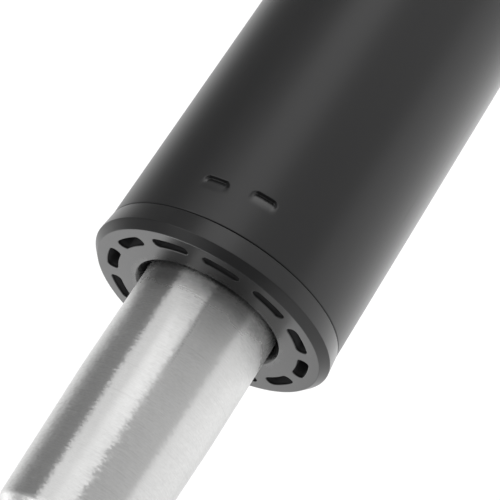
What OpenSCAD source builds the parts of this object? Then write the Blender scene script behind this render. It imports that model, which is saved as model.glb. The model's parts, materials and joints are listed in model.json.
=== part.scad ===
// Chair gas lift cylinder, drawn fully lowered.
// A painted column tube stands on its curled rim and tapers to fit the chair base. The guide bush in its top
// carries the gas spindle, which slides up along the piston rod and swivels on the thrust bearing at the foot.
// The spindle tapers to fit the seat plate, and the button in its end opens the gas valve.
// Millimetres, +Z towards the seat, origin at the centre of the rim.

/* [Column tube] */
// Outside diameter of the column tube
column_d = 50; // [48:0.5:56]
// Wall of the column tube
column_wall = 2; // [1.6:0.1:2.4]
// Length of the column tube
column_length = 205; // [196:1:260]
// Length of the taper that sits in the chair base
base_taper_length = 62; // [45:1:75]
// How much the radius of both tapers falls for each millimetre of length
taper_slope = 0.0251; // [0.022:0.0001:0.028]
// Diameter of the opening inside the curled rim
rim_opening_d = 34; // [30:0.5:37]
// Outer radius of the curled rim
rim_round = 3; // [2.4:0.1:4]
// Radius of the edge of the opening in the rim
rim_edge = 0.5; // [0.2:0.1:0.8]
// Radius of the upper edge of the tube
tube_edge = 0.3; // [0.2:0.05:0.8]

/* [Staked dents] */
// Width of each dent round the tube
dent_width = 4.8; // [3:0.1:6.5]
// Height over which a dent runs out towards the tube's end
dent_run = 3; // [2:0.1:4]
// Depth of the dent at its step
dent_depth = 0.8; // [0.6:0.1:1.2]
// Distance from the tube's end down to the step of each pair's upper dent
dent_drop = 8.5; // [7:0.1:12]
// How much lower the other dent of a pair is struck
dent_lag = 0.9; // [0:0.1:1.5]
// Angle between the two dents of a pair
dent_pitch = 21.7; // [18:0.1:30]
// Direction of the middle of the front pair
dent_angle = 286.2; // [0:0.1:360]

/* [Guide bush] */
// Height of the flange that covers the tube's end
flange_height = 5.6; // [4.5:0.1:8]
// Overhang of the flange past the tube, at its lower edge
flange_overhang = 0.05; // [0:0.01:0.3]
// How much further the flange's side flares out
flange_flare = 0.4; // [0.1:0.05:0.8]
// Height of the undercut below the flange, which shows as a seam
seam_h = 0.15; // [0.1:0.05:0.6]
// Depth of that undercut
seam_depth = 0.4; // [0.2:0.05:0.8]
// Height of the chamfer round the flange's face
face_chamfer_h = 1.6; // [0.8:0.1:2.4]
// Width of the chamfer round the flange's face
face_chamfer_w = 1.4; // [0.6:0.1:1.8]
// Length of the sleeve inside the tube
sleeve_length = 72; // [60:1:85]
// Wall between the sleeve's outside and its pockets
sleeve_wall = 1.2; // [1:0.1:1.6]
// Number of pockets in the flange's face
pocket_count = 12; // [8:1:14]
// Angle that each face pocket spans
pocket_span = 21; // [12:0.5:22]
// Radial width of the face pockets
pocket_width = 2.25; // [1.6:0.05:2.6]
// Corner radius of the face pockets
pocket_corner = 0.95; // [0.3:0.05:1.05]
// Depth of the face pockets
pocket_depth = 8; // [5:0.1:8.5]
// Direction of the first face pocket
pocket_angle = 5.9; // [0:0.1:30]
// How much the bore widens at its mouth
mouth_width = 1.45; // [0.6:0.05:2]
// Depth of the widened mouth
mouth_depth = 1.8; // [1:0.1:4]
// Length of the bearing land at each end of the bore
land_length = 18; // [12:1:24]
// Depth of the relief between the lands
relief_depth = 0.5; // [0.3:0.1:0.8]
// Wall between the bore and the cores in the sleeve
core_wall = 2; // [1.6:0.1:2.6]
// Thickness of the ribs between the cores
core_rib = 2; // [1.4:0.1:3]
// Solid height left between the cores and the dent groove
core_roof = 6; // [3:0.5:12]

/* [Base plate and thrust bearing] */
// Thickness of the base plate
plate_t = 3; // [2.5:0.1:3.5]
// How far the plate's middle is raised above its edge
dish_rise = 5; // [4.5:0.1:7]
// Diameter at which the dish leaves the flat edge
dish_d = 28; // [27:0.5:29]
// Diameter of the flat underside of the raised middle
hub_d = 22; // [20:0.5:23]
// Radius of the bends in the plate
plate_bend = 1; // [0.6:0.1:1.2]
// Diameter of the balls
ball_d = 4; // [3:0.1:4.4]
// Number of balls
ball_count = 10; // [7:1:11]
// Diameter of the circle that the balls run on
ball_circle_d = 17; // [16:0.5:18]
// Thickness of each race
race_t = 1.5; // [1.2:0.1:2.5]
// Outside diameter of the races
race_d = 24; // [23.5:0.5:25]
// Depth of the ball groove in each race
race_groove = 0.4; // [0.2:0.05:0.6]
// Thickness of the ball cage
cage_t = 1.2; // [0.8:0.1:1.8]
// Thickness of the retaining clip
clip_t = 1.5; // [1:0.1:1.6]
// Outside diameter of the retaining clip
clip_d = 15; // [13:0.5:17]
// Thickness of the washer over the clip
clip_washer_t = 1.3; // [0.8:0.1:1.4]
// Outside diameter of that washer
clip_washer_d = 18; // [16:0.5:19]

/* [Piston rod] */
// Height that the spindle lifts
stroke = 100; // [70:1:112]
// Diameter of the piston rod
rod_d = 10; // [9.4:0.1:10.6]
// Diameter of the rod's foot, through the bearing
rod_foot_d = 8; // [7.2:0.1:8.2]
// Diameter of the groove for the clip
clip_groove_d = 6.2; // [5.2:0.1:6.6]
// How far the rod's foot stands out below the clip
rod_tip = 2; // [1:0.1:2.4]
// Diameter of the rod's upper end, through the piston
rod_end_d = 7; // [5.5:0.1:7.6]
// Diameter of the riveted head
rivet_d = 10; // [9:0.1:12]
// Height of the riveted head
rivet_h = 2.5; // [1.5:0.1:4]
// Height of the rubber bumper
bumper_h = 12; // [8:0.5:16]
// Outside diameter of the rubber bumper
bumper_d = 24; // [21:0.5:26]
// Depth of the waist round the bumper
bumper_waist = 1.2; // [0.6:0.1:2]
// Height of the piston
piston_h = 14; // [12:0.5:18]
// Thickness of the washer on the piston
piston_washer_t = 1.5; // [1:0.1:2.5]

/* [Spindle] */
// Outside diameter of the spindle
spindle_d = 28; // [27.5:0.1:28.6]
// Wall of the spindle tube
spindle_wall = 1.5; // [1.3:0.1:1.6]
// Straight length that shows above the bush when lowered
spindle_shown = 22; // [15:0.5:35]
// Length of the taper that sits in the seat plate
seat_taper_length = 28.5; // [24:0.5:32]
// Size of the bevel round the spindle's end
end_bevel = 2; // [1.6:0.1:2.4]
// Radius between that bevel and the flat end
end_round = 0.8; // [0.4:0.1:1.2]
// Radius between the taper and that bevel
shoulder_round = 0.6; // [0.2:0.1:1.2]
// Radius of the curl round the spindle's foot
foot_round = 2; // [1.6:0.1:3]
// Diameter of the opening in the spindle's foot
foot_opening_d = 17; // [14:0.5:19]
// Outside diameter of the inner gas cylinder
gas_d = 22; // [21.6:0.1:22.4]
// Wall of the inner gas cylinder
gas_wall = 1; // [0.8:0.1:1.2]
// Thickness of the backing washer
backing_t = 2; // [1.2:0.1:3]
// Height of the rod guide
guide_h = 10; // [7:0.5:14]
// Height of the rod seal
seal_h = 7; // [5.5:0.5:9]
// Height of the cylinder seat up to the gas cylinder's end
seat_h = 12; // [10:0.5:16]
// Height of the seat's spigot inside the gas cylinder
seat_spigot = 4; // [2.5:0.5:6]
// Width of the gas slots in the seat
gas_slot = 3; // [2:0.1:4]

/* [Valve] */
// Length of the valve body
valve_length = 49.6; // [47:0.1:56]
// Depth of the valve body's spigot in the gas cylinder
valve_spigot = 10; // [8:0.5:12]
// Height of the collar that rests on the gas cylinder
collar_h = 4; // [2.5:0.5:5]
// Diameter of the valve body beside its gas port
valve_waist_d = 21; // [19:0.1:21.6]
// Length of the valve body's wide head
head_length = 21.6; // [19:0.1:24]
// Diameter of the gas port
port_d = 2; // [1.2:0.1:2.6]
// Diameter of the chamber for the pin seals
chamber_d = 10; // [9:0.1:11]
// Depth of the chamber, from the valve body's lower end
chamber_depth = 26; // [25:0.5:27]
// Height of each pin seal
pin_seal_h = 2.4; // [1.8:0.1:2.6]
// Height of the ported spacer between the pin seals
spacer_h = 8; // [7.4:0.1:9]
// Diameter of the valve pin
pin_d = 5; // [4:0.1:5.4]
// Diameter of the pin's neck
pin_neck_d = 3.6; // [2.6:0.1:4]
// Diameter of the pin's head
pin_head_d = 7.2; // [6.6:0.1:8]
// Height of the pin's head
pin_head_h = 3; // [2:0.1:4]
// Distance that the button can be pushed in
button_travel = 3.5; // [2.5:0.1:4]
// Diameter of the button
button_d = 10; // [8:0.1:11]
// Height of the button above the spindle's end
button_proud = 8; // [5:0.5:12]
// Diameter of the flange that keeps the button in
button_flange_d = 12.8; // [12:0.1:14]
// Thickness of that flange
button_flange_t = 2.5; // [1.5:0.1:3]
// Chamfer round the button's top
button_edge = 0.8; // [0.4:0.1:1.6]
// Section diameter of the sealing rings
ring_section = 1.8; // [1.6:0.05:2]

/* [Fits] */
// Radial running clearance of the spindle in the bush
spindle_gap = 0.08; // [0.04:0.01:0.1]
// Radial clearance of pieces seated in a bore
seat_gap = 0.05; // [0.02:0.01:0.1]
// Clearance between seals, balls or washers and what moves past them
slip_gap = 0.05; // [0.03:0.01:0.1]
// Radial clearance of the rod's foot in the plate
foot_gap = 0.3; // [0.2:0.05:0.6]
// Free space left at each end of a travel
stop_gap = 0.3; // [0.2:0.05:0.6]

/* [Hidden] */
$fn = 96;
// Small overlap that makes cuts run clear of a face
past = 1;
// Small chamfer that breaks hidden edges
edge_break = 0.5;
// Arcs that round a corner are drawn this much larger, so that they cross its edges cleanly
arc_reach = 1.0005;
// Half the height of a groove for a sealing ring
ring_room = 0.6 * ring_section;

// Column tube
column_r = column_d / 2;
column_in_r = column_r - column_wall;
function column_r_at(z) = column_r - taper_slope * max(0, base_taper_length - z);
rim_opening_r = rim_opening_d / 2;
dent_z = column_length - dent_drop;
dent_span = 2 * asin(dent_width / column_d);
// Each dent, as its direction and the height of its step
dents = [for (side = [0, 180], half = [-0.5, 0.5])
    [dent_angle + side + half * dent_pitch, dent_z - (half < 0 ? dent_lag : 0)]];

// Guide bush
spindle_r = spindle_d / 2;
bush_bore_r = spindle_r + spindle_gap;
face_z = column_length + flange_height;
flange_low_r = column_r + flange_overhang;
flange_r = flange_low_r + flange_flare;
sleeve_r = column_in_r - seat_gap;
sleeve_low = column_length - sleeve_length;
groove_r = sleeve_r - dent_depth - stop_gap;
groove_low = dent_z - dent_lag - stop_gap;
groove_high = dent_z + dent_run + stop_gap;
pocket_out_r = sleeve_r - sleeve_wall;
pocket_in_r = pocket_out_r - pocket_width;
pocket_corner_r = min(pocket_corner, pocket_width / 2 - seat_gap);
relief_low = sleeve_low + land_length;
relief_high = column_length - land_length;
core_in_r = bush_bore_r + relief_depth + core_wall;
core_out_r = sleeve_r - sleeve_wall;
core_high = groove_low - core_roof;
core_span = 360 / pocket_count - 2 * asin(core_rib / (core_in_r + core_out_r));

// Base plate, bearing and clip, from the rim up
plate_low = column_wall;
plate_r = column_r_at(plate_low) - column_wall - seat_gap;
hub_low = plate_low + dish_rise;
hub_high = hub_low + plate_t;
dish_lean = (dish_d - hub_d) / 2 / dish_rise;
dish_shift = plate_t * (sqrt(1 + dish_lean * dish_lean) - dish_lean);
rod_foot_r = rod_foot_d / 2;
plate_hole_r = rod_foot_r + foot_gap;
ball_r = ball_d / 2;
ball_circle_r = ball_circle_d / 2;
lower_race_high = hub_high + race_t;
ball_z = lower_race_high - race_groove + slip_gap + ball_r;
upper_race_low = ball_z + ball_r + slip_gap - race_groove;
upper_race_high = upper_race_low + race_t;
clip_washer_high = hub_low - slip_gap;
clip_washer_low = clip_washer_high - clip_washer_t;
clip_low = clip_washer_low - slip_gap - clip_t;
rod_low = clip_low - rod_tip;

// Rod, bumper and spindle foot
rod_r = rod_d / 2;
bumper_high = upper_race_high + bumper_h;
foot_z = bumper_high + stop_gap;
spindle_in_r = spindle_r - spindle_wall;
foot_seat_r = spindle_in_r - seat_gap;
backing_low = foot_z + spindle_wall;
guide_low = backing_low + backing_t;
seal_low = guide_low + guide_h;
seat_low = seal_low + seal_h;
gas_low = seat_low + seat_h;
seat_high = gas_low + seat_spigot;
gas_r = gas_d / 2;
gas_in_r = gas_r - gas_wall;
piston_r = gas_in_r - 2 * slip_gap;
piston_low = seat_high + stroke + stop_gap;
piston_high = piston_low + piston_h;
piston_washer_high = piston_high + piston_washer_t;
rod_end_r = rod_end_d / 2;

// Spindle end and valve, from the spindle's end down
cone_z = face_z + spindle_shown;
cone_end_z = cone_z + seat_taper_length;
function spindle_r_at(z) = spindle_r - taper_slope * max(0, z - cone_z);
spindle_high = cone_end_z + end_bevel;
end_in_z = spindle_high - spindle_wall;
button_r = button_d / 2;
button_hole_r = button_r + 2 * slip_gap;
button_flange_r = button_flange_d / 2;
button_flange_high = end_in_z - slip_gap;
button_flange_low = button_flange_high - button_flange_t;
button_high = spindle_high + button_proud;
counterbore_r = button_flange_r + 4 * slip_gap;
counterbore_low = button_flange_low - button_travel - stop_gap;
valve_low = end_in_z - valve_length;
valve_head_r = spindle_r_at(cone_end_z) - spindle_wall - 2 * seat_gap;
valve_head_low = end_in_z - head_length;
valve_spigot_r = gas_in_r - seat_gap;
collar_low = valve_low + valve_spigot;
collar_high = collar_low + collar_h;
pin_r = pin_d / 2;
pin_hole_r = pin_r + slip_gap;
chamber_r = chamber_d / 2;
chamber_high = valve_low + chamber_depth;
chamber_piece_r = chamber_r - seat_gap;
upper_seal_low = chamber_high - pin_seal_h;
spacer_low = upper_seal_low - spacer_h;
lower_seal_low = spacer_low - pin_seal_h;
port_z = spacer_low + spacer_h / 2;
pin_neck_low = spacer_low + edge_break;
pin_neck_high = upper_seal_low - edge_break;
pin_head_high = valve_low - slip_gap;

// Sealing rings, each by its height and the radius of the wall that it meets
piston_seal_z = (piston_low + piston_high) / 2;
piston_seal_r = gas_in_r - slip_gap;
valve_seal_z = valve_head_low + head_length / 3;
valve_seal_r = spindle_r_at(valve_seal_z + ring_section / 2) - spindle_wall;
cylinder_seal_z = valve_low + valve_spigot / 2;

// A solid of revolution from its half section.
module turned(points) {
    rotate_extrude()
        polygon(points);
}

// A plain ring between two heights.
module ring(inner_r, outer_r, low, high) {
    turned([[inner_r, low], [outer_r, low], [outer_r, high], [inner_r, high]]);
}

// A piece of a ring, centred on the +X direction.
module ring_sector(inner_r, outer_r, low, high, span) {
    rotate([0, 0, -span / 2])
        rotate_extrude(angle = span)
            translate([inner_r, low])
                square([outer_r - inner_r, high - low]);
}

// A sealing ring that fills its groove and meets the wall at the given radius.
module sealing_ring(wall_r, z) {
    rotate_extrude()
        translate([wall_r - ring_section / 2, z])
            circle(d = ring_section);
}

// What the groove for such a ring takes off.
module ring_groove(wall_r, z) {
    ring(wall_r - ring_section, wall_r + past, z - ring_room, z + ring_room);
}

function unit(v) = v / norm(v);

// The sliver between a corner of a half section and the arc that rounds it: taken off an outer corner, put into
// an inner one. The corner is given with the points before and after it.
module bend(before, corner, after, radius) {
    to_before = unit(before - corner);
    to_after = unit(after - corner);
    half = acos(to_before * to_after) / 2;
    middle = unit(to_before + to_after);
    centre = corner + radius / sin(half) * middle;
    tangent = radius / tan(half);
    difference() {
        polygon([
            corner + tangent * to_before,
            centre,
            corner + tangent * to_after,
            corner - radius / 4 * middle
        ]);
        translate(centre)
            circle(arc_reach * radius);
    }
}

// Half section of the column tube, with the rim curled in at its foot.
module column_section() {
    foot = [column_r_at(0), 0];
    shoulder = [column_r, base_taper_length];
    top = [column_r, column_length];
    difference() {
        polygon([
            [rim_opening_r, 0],
            foot,
            shoulder,
            top,
            [column_in_r, column_length],
            [column_in_r, base_taper_length],
            [column_r_at(plate_low) - column_wall, plate_low],
            [rim_opening_r, plate_low]
        ]);
        bend([rim_opening_r, plate_low], [rim_opening_r, 0], foot, rim_edge);
        bend([rim_opening_r, 0], foot, shoulder, rim_round);
        bend(shoulder, top, [column_in_r, column_length], tube_edge);
    }
}

// The wedge of wall that each dent pushes in, for a surface at the given radius.
module dent_wedges(surface_r, depth_past) {
    wedge_high = dent_run * (1 + depth_past / dent_depth);
    for (dent = dents)
        rotate([0, 0, dent[0] - dent_span / 2])
            rotate_extrude(angle = dent_span)
                translate([surface_r, dent[1]])
                    polygon([[-dent_depth, 0], [depth_past, 0], [depth_past, wedge_high]]);
}

module outer_tube() {
    color("#1b1c1e")
        union() {
            difference() {
                rotate_extrude()
                    column_section();
                dent_wedges(column_r, past);
            }
            dent_wedges(column_in_r, edge_break);
        }
}

// Outline of one face pocket: a slot bent round the axis, with rounded corners.
module pocket_outline() {
    corner_in = pocket_in_r + pocket_corner_r;
    corner_out = pocket_out_r - pocket_corner_r;
    half = pocket_span / 2;
    trim_in = asin(pocket_corner_r / corner_in);
    trim_out = asin(pocket_corner_r / corner_out);
    difference() {
        polygon([
            pocket_in_r * [cos(half), -sin(half)],
            pocket_out_r / cos(half) * [cos(half), -sin(half)],
            pocket_out_r / cos(half) * [cos(half), sin(half)],
            pocket_in_r * [cos(half), sin(half)]
        ]);
        circle(pocket_in_r);
        pocket_corner_cut(corner_in, half - trim_in, [pocket_in_r - past, half]);
        mirror([0, 1])
            pocket_corner_cut(corner_in, half - trim_in, [pocket_in_r - past, half]);
        pocket_corner_cut(corner_out, half - trim_out, [pocket_out_r + past, half]);
        mirror([0, 1])
            pocket_corner_cut(corner_out, half - trim_out, [pocket_out_r + past, half]);
        difference() {
            circle(pocket_out_r + past);
            circle(pocket_out_r);
        }
    }
}

// What one rounded corner takes off the pocket's outline.
module pocket_corner_cut(centre_r, centre_angle, tip) {
    centre = centre_r * [cos(centre_angle), sin(centre_angle)];
    side = centre_r * cos(tip[1] - centre_angle) * [cos(tip[1]), sin(tip[1])];
    difference() {
        polygon([
            centre,
            tip[0] * [cos(centre_angle), sin(centre_angle)],
            tip[0] * [cos(tip[1] + past), sin(tip[1] + past)],
            centre + (side - centre) * 2
        ]);
        translate(centre)
            circle(arc_reach * pocket_corner_r);
    }
}

module guide_bush() {
    color("#232427")
        difference() {
            turned([
                [bush_bore_r + mouth_width, face_z],
                [flange_r - face_chamfer_w, face_z],
                [flange_r, face_z - face_chamfer_h],
                [flange_low_r, column_length + seam_h],
                [flange_low_r - seam_depth, column_length],
                [sleeve_r, column_length],
                [sleeve_r, groove_high],
                [groove_r, groove_high],
                [groove_r, groove_low],
                [sleeve_r, groove_low],
                [sleeve_r, sleeve_low + 2 * edge_break],
                [sleeve_r - edge_break, sleeve_low],
                [bush_bore_r + edge_break, sleeve_low],
                [bush_bore_r, sleeve_low + edge_break],
                [bush_bore_r, relief_low],
                [bush_bore_r + relief_depth, relief_low + relief_depth],
                [bush_bore_r + relief_depth, relief_high - relief_depth],
                [bush_bore_r, relief_high],
                [bush_bore_r, face_z - mouth_depth]
            ]);
            for (i = [0 : pocket_count - 1]) {
                rotate([0, 0, pocket_angle + i * 360 / pocket_count]) {
                    translate([0, 0, face_z - pocket_depth])
                        linear_extrude(pocket_depth + past)
                            pocket_outline();
                    ring_sector(core_in_r, core_out_r, sleeve_low - past, core_high, core_span);
                }
            }
        }
}

module base_plate() {
    roof = [hub_d / 2, hub_low];
    mouth = [dish_d / 2, plate_low];
    step = [dish_d / 2 + dish_shift, plate_low + plate_t];
    crown = [hub_d / 2 + dish_shift, hub_high];
    rim_low = [plate_r, plate_low];
    rim_high = [plate_r, plate_low + plate_t];
    hole_low = [plate_hole_r, hub_low];
    hole_high = [plate_hole_r, hub_high];
    color("#8d9194")
        rotate_extrude()
            difference() {
                union() {
                    polygon([hole_low, roof, mouth, rim_low, rim_high, step, crown, hole_high]);
                    bend(hole_low, roof, mouth, plate_bend);
                    bend(rim_high, step, crown, plate_bend);
                }
                bend(roof, mouth, rim_low, plate_bend);
                bend(step, crown, hole_high, plate_bend);
            }
}

// The groove that the balls run in.
module ball_groove() {
    rotate_extrude()
        translate([ball_circle_r, ball_z])
            circle(ball_r + slip_gap);
}

module lower_race() {
    color("#b9bcc0")
        difference() {
            ring(plate_hole_r, race_d / 2, hub_high, lower_race_high);
            ball_groove();
        }
}

module upper_race() {
    color("#b9bcc0")
        difference() {
            ring(rod_foot_r + seat_gap, race_d / 2, upper_race_low, upper_race_high);
            ball_groove();
        }
}

// Puts a copy of its children at each ball.
module at_balls() {
    for (i = [0 : ball_count - 1])
        rotate([0, 0, i * 360 / ball_count])
            translate([ball_circle_r, 0, ball_z])
                children();
}

module ball_cage() {
    color("#c9a227")
        difference() {
            ring(rod_foot_r + 2 * foot_gap, race_d / 2 - foot_gap, ball_z - cage_t / 2, ball_z + cage_t / 2);
            at_balls()
                cylinder(r = ball_r + slip_gap, h = cage_t + past, center = true);
        }
}

module bearing_balls() {
    color("#d6d8da")
        at_balls()
            sphere(ball_r);
}

module piston_rod() {
    color("#c4c7ca")
        turned([
            [0, rod_low],
            [rod_foot_r - edge_break, rod_low],
            [rod_foot_r, rod_low + edge_break],
            [rod_foot_r, clip_low - slip_gap],
            [clip_groove_d / 2, clip_low - slip_gap],
            [clip_groove_d / 2, clip_low + clip_t + slip_gap],
            [rod_foot_r, clip_low + clip_t + slip_gap],
            [rod_foot_r, upper_race_high],
            [rod_r, upper_race_high],
            [rod_r, piston_low],
            [rod_end_r, piston_low],
            [rod_end_r, piston_washer_high],
            [rivet_d / 2, piston_washer_high],
            [rivet_d / 2, piston_washer_high + rivet_h / 2],
            [rivet_d / 2 - rivet_h / 2, piston_washer_high + rivet_h],
            [0, piston_washer_high + rivet_h]
        ]);
}

module clip_washer() {
    color("#a9adb1")
        ring(rod_foot_r + seat_gap, clip_washer_d / 2, clip_washer_low, clip_washer_high);
}

// A horseshoe clip, open towards +X, with three lands on the groove.
module retaining_clip() {
    grip_r = clip_groove_d / 2 + seat_gap;
    recess_r = (grip_r + clip_d / 2) / 2;
    color("#7f868c")
        translate([0, 0, clip_low])
            linear_extrude(clip_t)
                difference() {
                    circle(d = clip_d);
                    circle(grip_r);
                    translate([0, -grip_r])
                        square([clip_d, 2 * grip_r]);
                    for (angle = [130, 230])
                        rotate(angle)
                            translate([recess_r / 2 + grip_r / 2, 0])
                                circle(recess_r - grip_r);
                }
}

module rubber_bumper() {
    bumper_r = bumper_d / 2;
    waist_z = upper_race_high + bumper_h / 2;
    color("#202122")
        difference() {
            turned([
                [rod_r + 4 * slip_gap, upper_race_high],
                [bumper_r - edge_break, upper_race_high],
                [bumper_r, upper_race_high + edge_break],
                [bumper_r, bumper_high - 2 * edge_break],
                [bumper_r - 2 * edge_break, bumper_high],
                [rod_r + 4 * slip_gap, bumper_high]
            ]);
            rotate_extrude()
                translate([bumper_r + bumper_waist, waist_z])
                    circle(2 * bumper_waist);
        }
}

module piston() {
    color("#9aa0a6")
        difference() {
            turned([
                [rod_end_r + seat_gap, piston_low],
                [piston_r - edge_break, piston_low],
                [piston_r, piston_low + edge_break],
                [piston_r, piston_high - edge_break],
                [piston_r - edge_break, piston_high],
                [rod_end_r + seat_gap, piston_high]
            ]);
            ring_groove(piston_seal_r, piston_seal_z);
        }
}

module piston_seal() {
    color("#17181a")
        sealing_ring(piston_seal_r, piston_seal_z);
}

module piston_washer() {
    color("#a9adb1")
        ring(rod_end_r + seat_gap, piston_r - 2 * edge_break, piston_high, piston_washer_high);
}

// Half section of the spindle tube: curled foot, straight bore, taper and bevelled end.
module spindle_section() {
    foot = [spindle_r, foot_z];
    cone_low = [spindle_r, cone_z];
    cone_high = [spindle_r_at(cone_end_z), cone_end_z];
    bevel_high = [spindle_r_at(cone_end_z) - end_bevel, spindle_high];
    difference() {
        polygon([
            [foot_opening_d / 2, foot_z],
            foot,
            cone_low,
            cone_high,
            bevel_high,
            [button_hole_r, spindle_high],
            [button_hole_r, end_in_z],
            [spindle_r_at(end_in_z) - spindle_wall, end_in_z],
            [spindle_in_r, cone_z],
            [spindle_in_r, backing_low],
            [foot_opening_d / 2, backing_low]
        ]);
        bend([foot_opening_d / 2, foot_z], foot, cone_low, foot_round);
        bend(cone_low, cone_high, bevel_high, shoulder_round);
        bend(cone_high, bevel_high, [button_hole_r, spindle_high], end_round);
    }
}

module spindle_tube() {
    color("#c9cbcd")
        rotate_extrude()
            spindle_section();
}

module backing_washer() {
    color("#a9adb1")
        ring(rod_r + foot_gap, foot_seat_r, backing_low, guide_low);
}

module rod_guide() {
    color("#3a3d40")
        turned([
            [rod_r + slip_gap, guide_low],
            [foot_seat_r, guide_low],
            [foot_seat_r, seal_low],
            [rod_r + slip_gap + edge_break, seal_low],
            [rod_r + slip_gap, seal_low - edge_break]
        ]);
}

// A lip seal: a solid heel, with a groove that spreads the inner and outer lips.
module rod_seal() {
    lip_r = rod_r + slip_gap;
    middle_r = (lip_r + foot_seat_r) / 2;
    groove_w = (foot_seat_r - lip_r) / 4;
    heel = seal_h / 3;
    color("#17181a")
        turned([
            [lip_r + edge_break, seal_low],
            [foot_seat_r, seal_low],
            [foot_seat_r, seat_low],
            [middle_r + groove_w, seat_low],
            [middle_r, seal_low + heel],
            [middle_r - groove_w, seat_low],
            [lip_r, seat_low],
            [lip_r, seat_low - heel],
            [lip_r + edge_break, seal_low + heel]
        ]);
}

module cylinder_seat() {
    throat_r = rod_r + 2 * foot_gap;
    color("#9aa0a6")
        difference() {
            turned([
                [throat_r, seat_low],
                [foot_seat_r, seat_low],
                [foot_seat_r, gas_low],
                [gas_in_r - seat_gap, gas_low],
                [gas_in_r - seat_gap, seat_high],
                [throat_r, seat_high]
            ]);
            for (angle = [0, 90])
                rotate([0, 0, angle])
                    translate([0, 0, gas_low - seat_spigot])
                        cube([spindle_d, gas_slot, seat_spigot], center = true);
        }
}

module gas_cylinder() {
    color("#aeb2b6")
        ring(gas_in_r, gas_r, gas_low, collar_low);
}

module valve_body() {
    waist_r = valve_waist_d / 2;
    color("#a39a72")
        difference() {
            turned([
                [chamber_r, valve_low],
                [valve_spigot_r - edge_break, valve_low],
                [valve_spigot_r, valve_low + edge_break],
                [valve_spigot_r, collar_low],
                [gas_r, collar_low],
                [gas_r, collar_high],
                [waist_r, collar_high],
                [waist_r, valve_head_low],
                [valve_head_r, valve_head_low],
                [valve_head_r, end_in_z],
                [counterbore_r, end_in_z],
                [counterbore_r, counterbore_low],
                [pin_hole_r, counterbore_low],
                [pin_hole_r, chamber_high],
                [chamber_r, chamber_high]
            ]);
            ring_groove(valve_seal_r, valve_seal_z);
            ring_groove(gas_in_r, cylinder_seal_z);
            translate([0, 0, port_z])
                rotate([0, 90, 0])
                    cylinder(d = port_d, h = spindle_d);
        }
}

module valve_body_seal() {
    color("#17181a")
        sealing_ring(valve_seal_r, valve_seal_z);
}

module cylinder_seal() {
    color("#17181a")
        sealing_ring(gas_in_r, cylinder_seal_z);
}

module valve_retainer() {
    color("#b9bcc0")
        ring(pin_r + 2 * foot_gap, chamber_piece_r, valve_low, lower_seal_low);
}

module valve_spacer() {
    color("#c8a24a")
        difference() {
            ring(pin_r + 2 * foot_gap, chamber_piece_r, spacer_low, upper_seal_low);
            for (angle = [0, 90])
                translate([0, 0, port_z])
                    rotate([0, 90, angle])
                        cylinder(d = port_d, h = spindle_d, center = true);
        }
}

module valve_pin_seals() {
    color("#17181a")
        for (low = [lower_seal_low, upper_seal_low])
            turned([
                [pin_r + slip_gap, low + edge_break],
                [pin_r + slip_gap + edge_break, low],
                [chamber_piece_r, low],
                [chamber_piece_r, low + pin_seal_h],
                [pin_r + slip_gap + edge_break, low + pin_seal_h],
                [pin_r + slip_gap, low + pin_seal_h - edge_break]
            ]);
}

module valve_pin() {
    neck_r = pin_neck_d / 2;
    neck_ramp = pin_r - neck_r;
    color("#c4c7ca")
        turned([
            [0, pin_head_high - pin_head_h],
            [pin_head_d / 2, pin_head_high - pin_head_h],
            [pin_head_d / 2, pin_head_high],
            [pin_r, pin_head_high],
            [pin_r, pin_neck_low],
            [neck_r, pin_neck_low + neck_ramp],
            [neck_r, pin_neck_high - neck_ramp],
            [pin_r, pin_neck_high],
            [pin_r, button_flange_low],
            [0, button_flange_low]
        ]);
}

module release_button() {
    color("#cfd2d4")
        turned([
            [0, button_flange_low],
            [button_flange_r, button_flange_low],
            [button_flange_r, button_flange_high],
            [button_r, button_flange_high],
            [button_r, button_high - button_edge],
            [button_r - button_edge, button_high],
            [0, button_high]
        ]);
}

outer_tube();
guide_bush();
base_plate();
lower_race();
ball_cage();
bearing_balls();
upper_race();
piston_rod();
clip_washer();
retaining_clip();
rubber_bumper();
piston();
piston_seal();
piston_washer();
spindle_tube();
backing_washer();
rod_guide();
rod_seal();
cylinder_seat();
gas_cylinder();
valve_body();
valve_body_seal();
cylinder_seal();
valve_retainer();
valve_spacer();
valve_pin_seals();
valve_pin();
release_button();
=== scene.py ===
"""Dresses the chair gas lift: its visible pieces, the finishes of every piece, and a white studio stage."""

import json
import math

import bmesh
import bpy
from bpy.props import FloatProperty, FloatVectorProperty, IntProperty, PointerProperty
from mathutils import Matrix, Vector


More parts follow.
